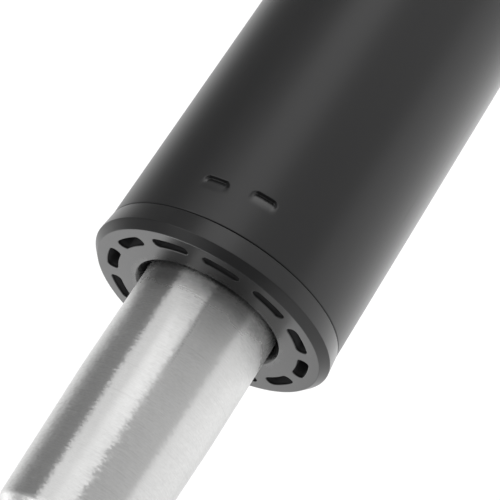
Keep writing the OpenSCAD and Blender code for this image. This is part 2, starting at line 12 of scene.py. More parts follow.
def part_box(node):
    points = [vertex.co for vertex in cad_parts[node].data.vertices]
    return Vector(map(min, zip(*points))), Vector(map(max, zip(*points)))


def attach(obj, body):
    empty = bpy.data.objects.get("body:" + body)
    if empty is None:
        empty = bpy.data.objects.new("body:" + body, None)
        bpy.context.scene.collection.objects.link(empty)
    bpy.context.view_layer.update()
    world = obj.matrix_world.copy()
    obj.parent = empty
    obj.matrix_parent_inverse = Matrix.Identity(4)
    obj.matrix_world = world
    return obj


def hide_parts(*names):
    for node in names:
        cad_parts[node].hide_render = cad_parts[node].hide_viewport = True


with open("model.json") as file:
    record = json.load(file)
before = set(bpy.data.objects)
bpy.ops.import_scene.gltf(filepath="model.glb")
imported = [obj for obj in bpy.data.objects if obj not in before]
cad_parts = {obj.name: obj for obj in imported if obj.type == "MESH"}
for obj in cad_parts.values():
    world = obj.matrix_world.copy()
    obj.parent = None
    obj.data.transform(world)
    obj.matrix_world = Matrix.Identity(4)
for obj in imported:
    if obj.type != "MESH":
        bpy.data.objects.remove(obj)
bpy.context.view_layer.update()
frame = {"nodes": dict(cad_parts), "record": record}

bl_info = {
    "name": "Chair Gas Lift",
    "version": (1, 0, 0),
    "blender": (4, 5, 0),
    "location": "View3D > Sidebar > Gas Lift",
    "description": "Builds the visible pieces, finishes and stage of a chair gas lift",
    "category": "Object",
}

MM = 0.001
AXIS = Vector((0, 0, 1))
CENTRE = Vector((0, 0, 0))
# Vertices closer than this are one vertex
WELD = 0.002 * MM
# Tolerance for finding a ring of edges by its radius and height
NEAR = 0.01 * MM
# Edges that turn more than this are shaded sharp
SHARP = math.radians(40.0)
# Turning rings per metre on the turned finishes
TURNING_RINGS = 2600.0

TUBE_LOW, TUBE_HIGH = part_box("outer_tube")
BUSH_LOW, BUSH_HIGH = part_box("guide_bush")
SPINDLE_LOW, SPINDLE_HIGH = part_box("spindle_tube")
BUTTON_LOW, BUTTON_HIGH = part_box("release_button")


# Property helpers

def length(name, description, millimetres):
    """A length in metres, given in millimetres."""
    metres = millimetres * MM
    return FloatProperty(name=name, description=description, default=metres, unit="LENGTH", precision=5)


def angle(name, description, degrees):
    """An angle in radians, given in degrees."""
    radians = math.radians(degrees)
    return FloatProperty(name=name, description=description, default=radians, unit="ROTATION")


def share(name, description, default):
    """A number from 0 to 1."""
    return FloatProperty(
        name=name, description=description, default=default, min=0.0, max=1.0, subtype="FACTOR")


def level(name, description, default):
    """A brightness, where 1 is white."""
    return FloatProperty(name=name, description=description, default=default, min=0.0)


def colour(name, description, default):
    """A linear colour."""
    return FloatVectorProperty(
        name=name, description=description, default=default, size=3, subtype="COLOR")


class ColumnTubeSettings(bpy.types.PropertyGroup):
    """Sizes of the column tube."""

    wall: length("Wall", "Wall of the tube", 2.0)
    taper_length: length("Base taper", "Length of the taper at the foot", 62.0)
    taper_slope: share("Taper slope", "How much the radius falls over a length", 0.0251)
    rim_opening: length("Rim opening", "Radius of the opening in the curled rim", 17.0)
    rim_round: length("Rim round", "Radius of the curled rim", 3.0)
    rim_edge: length("Rim edge", "Rounding of the opening's edge", 0.5)
    edge: length("Edge", "Rounding of the upper edge", 0.3)
    dent_width: length("Dent width", "Width of each staked dent", 4.8)
    dent_run: length("Dent run", "Height over which a dent runs out", 3.0)
    dent_depth: length("Dent depth", "Depth of a dent at its step", 0.8)
    dent_drop: length("Dent drop", "Distance from the tube's end to the second dent's step", 8.5)
    dent_lag: length("Dent lag", "How much lower the first dent of a pair is", 0.9)
    dent_corner: length("Dent corner", "Radius of the step's corners", 0.9)
    dent_edge: length("Dent edge", "Width over which the step falls", 0.3)
    dent_fade: share("Dent fade", "How fast the sides grow softer above the step", 0.6)
    dent_pitch: angle("Dent pitch", "Angle between the dents of a pair", 21.7)
    dent_angle: angle("Dent angle", "Direction of the front pair's middle", 286.2)


class GuideBushSettings(bpy.types.PropertyGroup):
    """Sizes of the guide bush."""

    overhang: length("Overhang", "Overhang of the flange's lower edge past the tube", 0.05)
    seam: length("Seam", "Height of the undercut below the flange, which shows as a seam", 0.15)
    seam_depth: length("Seam depth", "Depth of the undercut below the flange", 0.4)
    chamfer_height: length("Chamfer height", "Height of the chamfer round the face", 1.6)
    chamfer_width: length("Chamfer width", "Width of the chamfer round the face", 1.4)
    edge_round: length("Edge round", "Radius that softens the moulded edges", 0.12)
    seam_round: length("Seam round", "Radius that softens the flange's edge at the seam", 0.06)
    sleeve_gap: length("Sleeve gap", "Clearance of the sleeve in the tube", 0.05)
    sleeve_wall: length("Sleeve wall", "Wall between the sleeve's outside and its cores", 1.2)
    groove_gap: length("Groove gap", "Clearance of the tube's dents in the sleeve's groove", 0.3)
    edge_break: length("Edge break", "Bevel of the sleeve's lower edges", 0.5)
    core_wall: length("Core wall", "Wall between the bore and the cores", 2.0)
    core_rib: length("Core rib", "Thickness of the ribs between the cores", 2.0)
    core_roof: length("Core roof", "Height left between the cores and the groove", 6.0)
    bore_gap: length("Bore gap", "Clearance of the spindle in the bore", 0.08)
    land: length("Land", "Length of the bearing land at each end of the bore", 18.0)
    relief: length("Relief", "Depth of the bore's relief between the lands", 0.5)
    mouth_width: length("Mouth width", "How much the bore widens at its mouth", 1.45)
    mouth_depth: length("Mouth depth", "Depth of the widened mouth", 1.8)
    pocket_count: IntProperty(name="Pockets", description="Number of pockets in the face", default=12, min=3)
    pocket_span: angle("Pocket span", "Angle that each pocket spans", 21.0)
    pocket_outer: length("Pocket radius", "Radius of the pockets' outer wall", 21.75)
    pocket_width: length("Pocket width", "Radial width of the pockets", 2.25)
    pocket_corner: length("Pocket corner", "Corner radius of the pockets", 0.95)
    pocket_depth: length("Pocket depth", "Depth of the pockets", 8.0)
    pocket_round: length("Pocket round", "Radius that softens the pockets' rims", 0.2)
    pocket_angle: angle("Pocket angle", "Direction of the first pocket", 5.9)


class SpindleSettings(bpy.types.PropertyGroup):
    """Sizes of the spindle and its button."""

    wall: length("Wall", "Wall of the spindle tube", 1.5)
    shown: length("Shown", "Straight length above the bush when lowered", 22.0)
    taper_length: length("Seat taper", "Length of the taper at the end", 28.5)
    taper_slope: share("Taper slope", "How much the radius falls over a length", 0.0251)
    end_bevel: length("End bevel", "Size of the bevel round the end", 2.0)
    end_round: length("End round", "Radius between the bevel and the flat end", 0.8)
    shoulder_round: length("Shoulder round", "Radius between the taper and the bevel", 0.6)
    foot_opening: length("Foot opening", "Radius of the opening in the foot", 8.5)
    foot_round: length("Foot round", "Radius of the curl round the foot", 2.0)
    button_radius: length("Button radius", "Radius of the release button", 5.0)
    button_gap: length("Button gap", "Clearance round the button", 0.1)
    button_flange: length("Button flange", "Thickness of the flange inside the end", 2.5)
    button_edge: length("Button edge", "Chamfer round the button's top", 0.8)
    button_round: length("Button round", "Radius that softens that chamfer", 0.25)
    flange_round: length("Flange round", "Radius that softens the button's flange", 0.3)
    hole_round: length("Hole round", "Radius that softens the hole for the button", 0.3)


class FinishSettings(bpy.types.PropertyGroup):
    """Colours of the finishes that show most."""

    enamel: colour("Enamel", "Black enamel of the column", (0.012, 0.012, 0.0125))
    plastic: colour("Plastic", "Black plastic of the bush", (0.012, 0.012, 0.0124))
    steel: colour("Steel", "Ground steel of the spindle", (0.66, 0.66, 0.655))
    zinc: colour("Zinc", "Bright zinc plating", (0.62, 0.63, 0.65))


class StageSettings(bpy.types.PropertyGroup):
    """Camera, floor and studio surroundings."""

    lens: FloatProperty(name="Lens", description="Focal length", default=137.53, unit="CAMERA")
    distance: length("Distance", "Distance from the camera to the bush's face, along the view", 358.52)
    aside: length("Aside", "How far the bush's face lies right of the picture's centre", -8.14)
    below: length("Below", "How far the bush's face lies below the picture's centre", 11.89)
    elevation: angle("Elevation", "Height of the camera above the horizon", 25.02)
    roll: angle("Roll", "Turn of the camera about its view", -146.93)
    floor_size: length("Floor size", "Side of the square floor", 6000.0)
    white: level("White", "Brightness of the surroundings", 0.95)
    glow: level("Glow", "Brightness of the foot of the surroundings", 1.25)
    rear: level("Rear", "Brightness of the wall behind the object", 1.85)
    side_wall: level("Side wall", "Brightness of the wall at the side", 1.06)
    side_glow: level("Side glow", "Brightness of the foot of the side wall", 2.0)
    softbox: level("Softbox", "Brightness of the softbox", 1.46)
    softbox_foot: level("Softbox foot", "Brightness of the foot of the softbox", 2.8)
    grey_panel: level("Grey panel", "Brightness of the panel beside the camera", 0.62)
    grey_foot: level("Grey foot", "Brightness of the foot of that panel", 1.7)
    flag: level("Flag", "Brightness of the dark flag", 0.28)
    flag_foot: level("Flag foot", "Brightness of the foot of the flag", 0.55)
    hood: level("Hood", "Brightness of the dark hood above the camera", 0.15)
    lamp_strength: level("Lamp strength", "Strength of the broad lamp", 1.3)
    lamp_angle: angle("Lamp angle", "Angle across the broad lamp", 36.0)


# Shader expressions

class Socket:
    """A node's output, on which arithmetic adds Math nodes."""

    def __init__(self, graph, output):
        self.graph = graph
        self.output = output

    def math(self, operation, *others):
        """This value and others through a Math node."""
        return self.graph.math(operation, self, *others)

    def __add__(self, other):
        return self.graph.math("ADD", self, other)

    def __radd__(self, other):
        return self.graph.math("ADD", other, self)

    def __sub__(self, other):
        return self.graph.math("SUBTRACT", self, other)

    def __rsub__(self, other):
        return self.graph.math("SUBTRACT", other, self)

    def __mul__(self, other):
        return self.graph.math("MULTIPLY", self, other)

    def __rmul__(self, other):
        return self.graph.math("MULTIPLY", other, self)

    def __neg__(self):
        return self.graph.math("MULTIPLY", self, -1.0)


class Graph:
    """A node tree that is written as expressions."""

    def __init__(self, owner):
        owner.use_nodes = True
        self.tree = owner.node_tree
        self.tree.nodes.clear()

    def node(self, kind, settings=None, inputs=None, output=0):
        """Adds a node: its settings first, then its sockets' values or links."""
        made = self.tree.nodes.new(kind)
        for name, value in (settings or {}).items():
            setattr(made, name, value)
        for name, value in (inputs or {}).items():
            if isinstance(value, Socket):
                self.tree.links.new(value.output, made.inputs[name])
            else:
                made.inputs[name].default_value = value
        return Socket(self, made.outputs[output]) if made.outputs else None

    def math(self, operation, *values):
        """A Math node on these values."""
        return self.node("ShaderNodeMath", {"operation": operation}, dict(enumerate(values)))

    def vector(self, operation, *vectors, **extra):
        """A Vector Math node on these vectors."""
        inputs = {**dict(enumerate(vectors)), **extra}
        return self.node("ShaderNodeVectorMath", {"operation": operation}, inputs)

    def step(self, value, low, high, at_low=0.0, at_high=1.0):
        """A smooth step from at_low to at_high, as value goes from low to high."""
        ends = {"Value": value, "From Min": low, "From Max": high, "To Min": at_low, "To Max": at_high}
        return self.node("ShaderNodeMapRange", {"interpolation_type": "SMOOTHSTEP"}, ends)

    def fall(self, value, low, high):
        """A smooth step from 1 to 0, as value goes from low to high."""
        return self.step(value, low, high, 1.0, 0.0)

    def blend(self, factor, first, second):
        """A colour between two colours."""
        return self.node("ShaderNodeMix", {"data_type": "RGBA"}, {0: factor, 6: first, 7: second}, output=2)

    def place(self, output="Object"):
        """Texture coordinates."""
        return self.node("ShaderNodeTexCoord", output=output)

    def scaled(self, vector, scale):
        """Coordinates stretched along each axis."""
        return self.node("ShaderNodeMapping", inputs={"Vector": vector, "Scale": scale})

    def axes(self, vector):
        """The three parts of a vector."""
        made = self.node("ShaderNodeSeparateXYZ", inputs={"Vector": vector})
        return [Socket(self, output) for output in made.output.node.outputs]

    def noise(self, vector, scale, detail, roughness=0.5):
        """Soft noise, about 0.5 on average."""
        inputs = {"Vector": vector, "Scale": scale, "Detail": detail, "Roughness": roughness}
        return self.node("ShaderNodeTexNoise", inputs=inputs)

    def bump(self, height, strength, distance):
        """A normal that follows a height."""
        inputs = {"Height": height, "Strength": strength, "Distance": distance}
        return self.node("ShaderNodeBump", inputs=inputs)

    def surface(self, inputs):
        """A Principled surface, wired to the output."""
        shader = self.node("ShaderNodeBsdfPrincipled", inputs=inputs)
        self.node("ShaderNodeOutputMaterial", inputs={"Surface": shader})


def new_finish(name):
    """A material and the graph of its nodes."""
    material = bpy.data.materials.new(name)
    return material, Graph(material)


def opaque(rgb, gain):
    """A colour with its alpha, made lighter or darker."""
    return (rgb[0] * gain, rgb[1] * gain, rgb[2] * gain, 1.0)


# Finishes

def black_enamel(rgb):
    """Satin black stove enamel, with a faint orange peel and rubbed patches."""
    material, graph = new_finish("black_enamel")
    place = graph.place()
    peel = graph.noise(place, 650.0, 1.0)
    cloud = graph.noise(graph.scaled(place, (1.0, 1.0, 0.35)), 60.0, 3.0)
    rub = graph.noise(graph.scaled(place, (1.0, 1.0, 0.04)), 900.0, 4.0, 0.6)
    rubbed = graph.step(rub, 0.62, 0.78)
    graph.surface({
        "Base Color": graph.blend(cloud, opaque(rgb, 0.85), opaque(rgb, 1.2)),
        "Roughness": 0.31 + 0.06 * cloud + 0.04 * rubbed,
        "Normal": graph.bump(peel, 0.06, 0.05 * MM),
        "IOR": 1.5,
    })
    return material


def black_plastic(rgb, size, mouth):
    """Moulded black plastic with a fine grain, dusty pockets that are painted lighter inside as painted
    light, and a coat of grease round the bore's mouth.
    """
    material, graph = new_finish("black_plastic")
    place = graph.place()
    x, y, z = graph.axes(place)
    radius = (x * x + y * y).math("SQRT")
    grain = graph.noise(place, 4200.0, 2.0)
    flow = graph.noise(place, 180.0, 3.0)
    smear = graph.noise(place, 420.0, 3.0)
    face = BUSH_HIGH.z
    floor = face - size.pocket_depth
    grease = graph.fall(radius, mouth, mouth + 1.6 * MM) * graph.step(smear, 0.42, 0.6)
    sunk = graph.fall(z, face - 0.9 * MM, face - 0.1 * MM) * graph.step(z, floor - 1 * MM, floor - 0.5 * MM)
    middle = size.pocket_outer - size.pocket_width / 2
    across = (radius - middle).math("ABSOLUTE")
    # Painted light: the pockets are painted much lighter below their rims, standing in for light that
    # reaches into them, with a dusty mottle.
    pocket_dust_and_light = sunk * graph.fall(across, size.pocket_width * 0.55, size.pocket_width * 0.8)
    moulding = graph.blend(flow, opaque(rgb, 0.85), opaque(rgb, 1.2))
    graph.surface({
        "Base Color": graph.blend(pocket_dust_and_light * (0.7 + 0.6 * smear), moulding, opaque(rgb, 6.5)),
        "Roughness": 0.27 + 0.06 * flow - 0.1 * grease + 0.3 * pocket_dust_and_light,
        "Normal": graph.bump(grain + 0.6 * smear, 0.08, 0.03 * MM),
        "IOR": 1.47,
    })
    return material


def ground_steel(rgb):
    """Bare steel, ground round its axis, with deeper scores, smudges and one rubbed line along the front.

    Short grinding marks lean the normal round the axis, which feathers the edges of reflections.
    The length that runs in the bush is burnished and carries a coat of grease; just above the bush the steel
    is painted darker, as painted shade.
    """
    material, graph = new_finish("ground_steel")
    place = graph.place()
    x, y, z = graph.axes(place)
    fine = graph.noise(graph.scaled(place, (160.0, 160.0, 7000.0)), 1.0, 2.0, 0.6)
    mark = graph.noise(graph.scaled(place, (1000.0, 1000.0, 3200.0)), 1.0, 3.0, 0.7)
    coarse = graph.noise(graph.scaled(place, (25.0, 25.0, 1400.0)), 1.0, 2.0)
    smudge = graph.noise(graph.scaled(place, (1.0, 1.0, 0.6)), 130.0, 4.0, 0.6)
    score = graph.step(coarse, 0.66, 0.74)
    grind = 0.35 * fine + 0.65 * mark
    # Painted shade with grease: the steel is painted darker just above the bush, and the grease there lowers
    # the roughness.
    grease_and_shade = graph.fall(z + (smudge - 0.5) * (5 * MM), BUSH_HIGH.z + 2 * MM, BUSH_HIGH.z + 6 * MM)
    # The rubbed line: how far it lies beside the axis, and the heights of its ends
    line_aside, line_low, line_high = 0.7 * MM, 212.0 * MM, 233.0 * MM
    wander = (smudge - 0.5) * (1.6 * MM)
    beside = (x - line_aside + wander).math("ABSOLUTE")
    upright = graph.step(z, line_low, line_low + 4 * MM) * graph.fall(z, line_high - 7 * MM, line_high)
    rubbed = graph.fall(beside, 0.1 * MM, 0.5 * MM) * upright * graph.fall(y, -5 * MM, 0.0)
    rubbed = rubbed * graph.step(mark, 0.44, 0.6)
    around = graph.node("ShaderNodeCombineXYZ", inputs={"X": -y, "Y": x, "Z": 0.0})
    around = graph.node("ShaderNodeVectorTransform", {"vector_type": "VECTOR"}, {"Vector": around})
    lean = graph.vector("SCALE", graph.vector("NORMALIZE", around), Scale=(mark - 0.5) * 0.26)
    bumped = graph.bump(grind - 0.5 * score, 0.06, 0.02 * MM)
    worn = graph.blend(grind, opaque(rgb, 0.66), opaque(rgb, 1.32))
    graph.surface({
        "Base Color": graph.blend(0.45 * rubbed + 0.12 * score + 0.18 * grease_and_shade, worn, opaque(rgb, 0.35)),
        "Metallic": 1.0,
        "Roughness": 0.24 + 0.1 * grind + 0.08 * smudge + 0.05 * score - 0.09 * grease_and_shade,
        "Anisotropic": 1.0,
        "Anisotropic Rotation": 0.25,
        "Normal": graph.vector("NORMALIZE", graph.vector("ADD", bumped, lean)),
    })
    return material


def turned_steel(name, rgb, roughness):
    """Metal with fine turning rings about its axis, and faint mottling."""
    material, graph = new_finish(name)
    place = graph.place()
    x, y, z = graph.axes(place)
    radius = (x * x + y * y).math("SQRT")
    across = graph.node("ShaderNodeCombineXYZ", inputs={"X": radius * TURNING_RINGS, "Z": z * TURNING_RINGS})
    ring = graph.noise(across, 1.0, 2.0)
    mottle = graph.noise(place, 320.0, 3.0)
    graph.surface({
        "Base Color": graph.blend(mottle, opaque(rgb, 0.9), opaque(rgb, 1.06)),
        "Metallic": 1.0,
        "Roughness": roughness + 0.08 * mottle + 0.06 * ring,
        "Normal": graph.bump(ring, 0.08, 0.02 * MM),
    })
    return material


def pressed_zinc(name, rgb, roughness):
    """Pressed sheet with a plated bloom."""
    material, graph = new_finish(name)
    place = graph.place()
    bloom = graph.noise(place, 240.0, 4.0, 0.6)
    speck = graph.noise(place, 2600.0, 2.0)
    graph.surface({
        "Base Color": graph.blend(bloom, opaque(rgb, 0.82), opaque(rgb, 1.08)),
        "Metallic": 1.0,
        "Roughness": roughness + 0.18 * bloom,
        "Normal": graph.bump(speck + bloom, 0.08, 0.03 * MM),
    })
    return material


def moulded(name, rgb, roughness, grain):
    """Moulded plastic or rubber with a matte grain."""
    material, graph = new_finish(name)
    place = graph.place()
    fine = graph.noise(place, grain, 2.0)
    cloud = graph.noise(place, 150.0, 3.0)
    graph.surface({
        "Base Color": graph.blend(cloud, opaque(rgb, 0.85), opaque(rgb, 1.15)),
        "Roughness": roughness + 0.1 * cloud,
        "Normal": graph.bump(fine, 0.15, 0.03 * MM),
    })
    return material


# Mesh helpers

def new_outline(bm, points, closed):
    """Vertices and edges of a half section, from (radius, height) points."""
    verts = [bm.verts.new((radius, 0.0, height)) for radius, height in points]
    pairs = list(zip(verts, verts[1:]))
    if closed:
        pairs.append((verts[-1], verts[0]))
    return verts + [bm.edges.new(pair) for pair in pairs]


def weld(bm):
    """Merges vertices that meet, and takes out what that leaves without a size."""
    bmesh.ops.remove_doubles(bm, verts=bm.verts, dist=WELD)
    bmesh.ops.dissolve_degenerate(bm, edges=bm.edges, dist=WELD)


def spin_round(bm, geometry, sectors):
    """Spins an outline right round the axis, through sectors of (angle, steps)."""
    for sector, steps in sectors:
        spun = bmesh.ops.spin(
            bm, geom=geometry, cent=CENTRE, axis=AXIS, dvec=CENTRE, angle=sector, steps=steps,
            use_merge=False)
        geometry = spun["geom_last"]
    weld(bm)


def spin_full(bm, geometry, steps):
    """Spins an outline right round the axis in even steps."""
    bmesh.ops.spin(
        bm, geom=geometry, cent=CENTRE, axis=AXIS, dvec=CENTRE, angle=math.tau, steps=steps, use_merge=True)
    weld(bm)


def ring_edges(bm, radius, height):
    """The edges that run round the axis at a radius and height."""
    def on_ring(vert):
        return abs(vert.co.xy.length - radius) < NEAR and abs(vert.co.z - height) < NEAR

    return [edge for edge in bm.edges if on_ring(edge.verts[0]) and on_ring(edge.verts[1])]


def soften(bm, edges, radius, segments):
    """Rounds edges off."""
    if not edges:
        raise RuntimeError("no edges to round off")
    bmesh.ops.recalc_face_normals(bm, faces=bm.faces)
    bmesh.ops.bevel(
        bm, geom=edges, offset=radius, offset_type="OFFSET", segments=segments, profile=0.5, affect="EDGES",
        material=-1, clamp_overlap=True)


def soften_rings(bm, rings):
    """Rounds off the rings of (radius, height, rounding, segments)."""
    for radius, height, rounding, segments in rings:
        soften(bm, ring_edges(bm, radius, height), rounding, segments)


def finish_piece(bm, name, material, body, node):
    """Turns a bmesh into a piece that stands for a CAD node."""
    bmesh.ops.recalc_face_normals(bm, faces=bm.faces)
    mesh = bpy.data.meshes.new(name)
    bm.to_mesh(mesh)
    bm.free()
    mesh.shade_smooth()
    mesh.set_sharp_from_angle(angle=SHARP)
    mesh.materials.append(material)
    piece = bpy.data.objects.new(name, mesh)
    bpy.context.scene.collection.objects.link(piece)
    weighted = piece.modifiers.new("flat_faces", "WEIGHTED_NORMAL")
    weighted.keep_sharp = True
    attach(piece, body)
    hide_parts(node)


def finish_node(node, material):
    """Gives a CAD node its finish."""
    mesh = frame["nodes"][node].data
    mesh.materials.clear()
    mesh.materials.append(material)


# Pieces

def dent_depth_at(size, aside, above):
    """Depth of a staked dent beside its middle and above its step, as a share of its full depth.

    The step is sharp, its corners are round, and the sides grow softer as the dent runs out above it.
    """
    corner = size.dent_corner
    soft = size.dent_edge + size.dent_fade * max(above, 0.0)
    out_x = max(abs(aside) - size.dent_width / 2 + corner, 0.0)
    out_z = max(corner - above, 0.0)
    outside = math.hypot(out_x, out_z) - corner
    edge = min(max(0.5 - outside / soft, 0.0), 1.0)
    run = min(max(1.0 - above / size.dent_run, 0.0), 1.0)
    return edge * edge * (3 - 2 * edge) * run * run


def press_dents(bm, size):
    """Pushes both faces of the tube's wall in at each dent."""
    step_height = TUBE_HIGH.z - size.dent_drop
    dents = []
    for turn in (0.0, math.pi):
        dents.append((size.dent_angle + turn - size.dent_pitch / 2, step_height - size.dent_lag))
        dents.append((size.dent_angle + turn + size.dent_pitch / 2, step_height))
    for vert in bm.verts:
        if abs(vert.co.z - step_height) > 2 * size.dent_run:
            continue
        radius = vert.co.xy.length
        direction = math.atan2(vert.co.y, vert.co.x)
        for middle, height in dents:
            aside = math.remainder(direction - middle, math.tau) * radius
            depth = size.dent_depth * dent_depth_at(size, aside, vert.co.z - height)
            vert.co.xy *= 1.0 - depth / radius


class GASLIFT_OT_column_tube(bpy.types.Operator):
    """Make the column tube, with its curled rim and staked dents"""

    bl_idname = "gas_lift.column_tube"
    bl_label = "Column Tube"

    # Rows of vertices for the dents: how many, how far apart, and how far below the lower step they start
    FINE_ROWS, FINE_PITCH = 30, 0.1 * MM
    COARSE_ROWS, COARSE_PITCH = 8, 0.25 * MM
    ROWS_BELOW = 0.6 * MM
    # Degrees that each step of the spin turns through, at the dents and between the pairs
    FINE_TURN, COARSE_TURN = 0.35, 1.5

    def execute(self, context):
        size = context.scene.gas_lift_column
        radius, top = TUBE_HIGH.x, TUBE_HIGH.z
        foot = radius - size.taper_slope * size.taper_length
        seat = foot + size.taper_slope * size.wall - size.wall
        step_height = top - size.dent_drop
        first_row = step_height - size.dent_lag - self.ROWS_BELOW
        rows = [first_row + row * self.FINE_PITCH for row in range(self.FINE_ROWS)]
        rows += [rows[-1] + row * self.COARSE_PITCH for row in range(1, self.COARSE_ROWS + 1)]
        bm = bmesh.new()
        outline = new_outline(bm, [
            (size.rim_opening, 0.0),
            (foot, 0.0),
            (radius, size.taper_length),
            *[(radius, height) for height in rows],
            (radius, top),
            (radius - size.wall, top),
            *[(radius - size.wall, height) for height in reversed(rows)],
            (radius - size.wall, size.taper_length),
            (seat, size.wall),
            (size.rim_opening, size.wall),
        ], closed=True)
        fine = size.dent_pitch + 3 * size.dent_width / radius
        verts = [item for item in outline if isinstance(item, bmesh.types.BMVert)]
        start = Matrix.Rotation(size.dent_angle - fine / 2, 3, "Z")
        bmesh.ops.rotate(bm, verts=verts, cent=CENTRE, matrix=start)
        fine_steps = round(math.degrees(fine) / self.FINE_TURN)
        coarse_steps = round(math.degrees(math.pi - fine) / self.COARSE_TURN)
        spin_round(bm, outline, [(fine, fine_steps), (math.pi - fine, coarse_steps)] * 2)
        soften_rings(bm, [
            (foot, 0.0, size.rim_round, 8),
            (size.rim_opening, 0.0, size.rim_edge, 3),
            (radius, top, size.edge, 4),
        ])
        press_dents(bm, size)
        enamel = black_enamel(context.scene.gas_lift_finish.enamel)
        finish_piece(bm, "column_tube", enamel, "column", "outer_tube")
        return {"FINISHED"}


def arc(bm, vert, centre, turn, steps):
    """Spins one vertex into an arc, and returns the arc's last vertex."""
    spun = bmesh.ops.spin(bm, geom=[vert], cent=centre, axis=AXIS, dvec=CENTRE, angle=turn, steps=steps)
    return next(item for item in spun["geom_last"] if isinstance(item, bmesh.types.BMVert))


def at_angle(radius, direction, height):
    """A point at a radius and direction."""
    return Vector((radius * math.cos(direction), radius * math.sin(direction), height))


